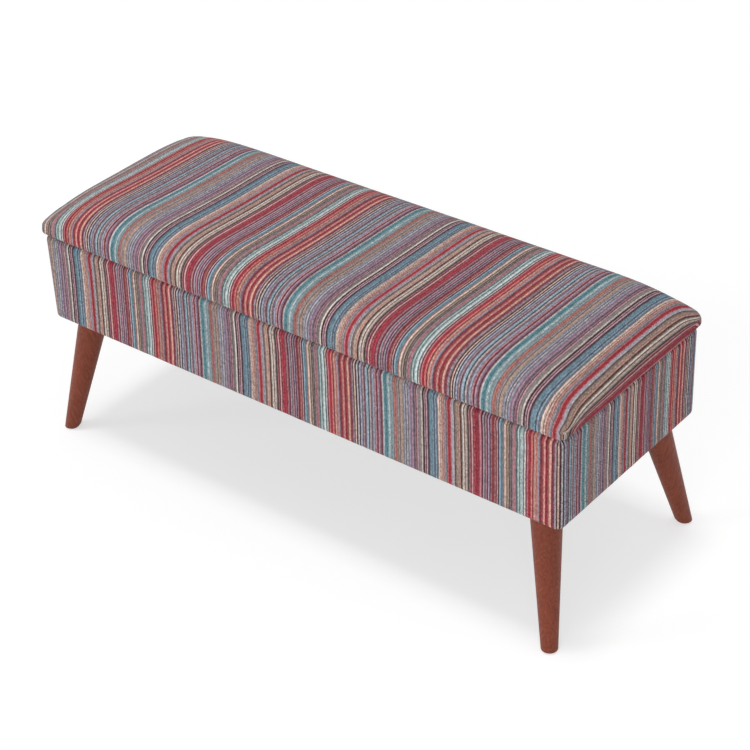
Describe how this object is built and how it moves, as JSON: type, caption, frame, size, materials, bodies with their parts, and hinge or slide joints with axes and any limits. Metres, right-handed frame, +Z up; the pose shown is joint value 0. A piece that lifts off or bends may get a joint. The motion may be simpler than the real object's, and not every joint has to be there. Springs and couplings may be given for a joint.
{
  "type": "storage bench",
  "caption": "Upholstered storage bench: a striped padded box on splayed turned legs, with a hinged cushioned lid held open by folding stays.",
  "frame": {"origin": "centre of the bench on the floor, under the middle of its bounding box", "axes": "+X along the bench to the right seen from the front, +Y to the back where the hinges are, +Z up"},
  "size_m": [1.11, 0.4394, 0.473],
  "materials": {
    "striped_fabric": "woven multi-stripe upholstery cloth",
    "stained_wood": "red-brown stained, satin lacquer",
    "board": "bare plywood",
    "wadding": "white polyester wadding",
    "foam": "cream upholstery foam",
    "lining_fabric": "black woven lining",
    "dust_fabric": "black non-woven cloth",
    "plated_steel": "zinc plated, satin",
    "zinc_steel": "bright zinc plated",
    "screw_steel": "zinc plated",
    "glide_plastic": "black nylon"
  },
  "bodies": {
    "box": {"front_panel": "board", "back_panel": "board", "left_panel": "board", "right_panel": "board", "base_board": "board", "frame_screws": "screw_steel", "base_screws": "screw_steel", "box_wadding": "wadding", "box_cover": "striped_fabric", "storage_lining": "lining_fabric", "dust_cloth": "dust_fabric", "leg_front_left": "stained_wood", "leg_front_right": "stained_wood", "leg_back_left": "stained_wood", "leg_back_right": "stained_wood", "hanger_bolts": "zinc_steel", "tee_nuts": "zinc_steel", "foot_glides": "glide_plastic", "hinge_box_leaves": "plated_steel", "hinge_pins": "plated_steel", "hinge_box_screws": "screw_steel", "stay_box_brackets": "plated_steel", "stay_box_rivets": "plated_steel", "stay_box_screws": "screw_steel"},
    "lid": {"lid_board": "board", "lid_foam": "foam", "lid_cover": "striped_fabric", "lid_cloth": "dust_fabric", "hinge_lid_leaves": "plated_steel", "hinge_lid_screws": "screw_steel", "stay_lid_brackets": "plated_steel", "stay_lid_rivets": "plated_steel", "stay_lid_screws": "screw_steel"},
    "stay_lower_left": {"stay_lower_arm_left": "plated_steel", "stay_elbow_rivet_left": "plated_steel"},
    "stay_lower_right": {"stay_lower_arm_right": "plated_steel", "stay_elbow_rivet_right": "plated_steel"},
    "stay_upper_left": {"stay_upper_arm_left": "plated_steel"},
    "stay_upper_right": {"stay_upper_arm_right": "plated_steel"}
  },
  "joints": [
    {"name": "lid_hinge", "type": "hinge", "parent": "box", "child": "lid", "pos_m": [0, 0.20385, 0.4045], "axis": [-1, 0, 0], "range_deg": [0, 100]},
    {"name": "stay_lower_left_pivot", "type": "hinge", "parent": "box", "child": "stay_lower_left", "pos_m": [-0.5232, 0.1646, 0.299], "axis": [-1, 0, 0], "range_deg": [0, 100]},
    {"name": "stay_lower_right_pivot", "type": "hinge", "parent": "box", "child": "stay_lower_right", "pos_m": [0.5232, 0.1646, 0.299], "axis": [-1, 0, 0], "range_deg": [0, 100]},
    {"name": "stay_upper_left_pivot", "type": "hinge", "parent": "lid", "child": "stay_upper_left", "pos_m": [-0.5208, 0.08075, 0.38279], "axis": [-1, 0, 0], "range_deg": [-100, 0]},
    {"name": "stay_upper_right_pivot", "type": "hinge", "parent": "lid", "child": "stay_upper_right", "pos_m": [0.5208, 0.08075, 0.38279], "axis": [-1, 0, 0], "range_deg": [-100, 0]}
  ],
  "couplings": [
    {"joint": "stay_lower_left_pivot", "follows": "lid_hinge", "ratio": 1},
    {"joint": "stay_lower_right_pivot", "follows": "lid_hinge", "ratio": 1},
    {"joint": "stay_upper_left_pivot", "follows": "lid_hinge", "ratio": -1},
    {"joint": "stay_upper_right_pivot", "follows": "lid_hinge", "ratio": -1}
  ]
}
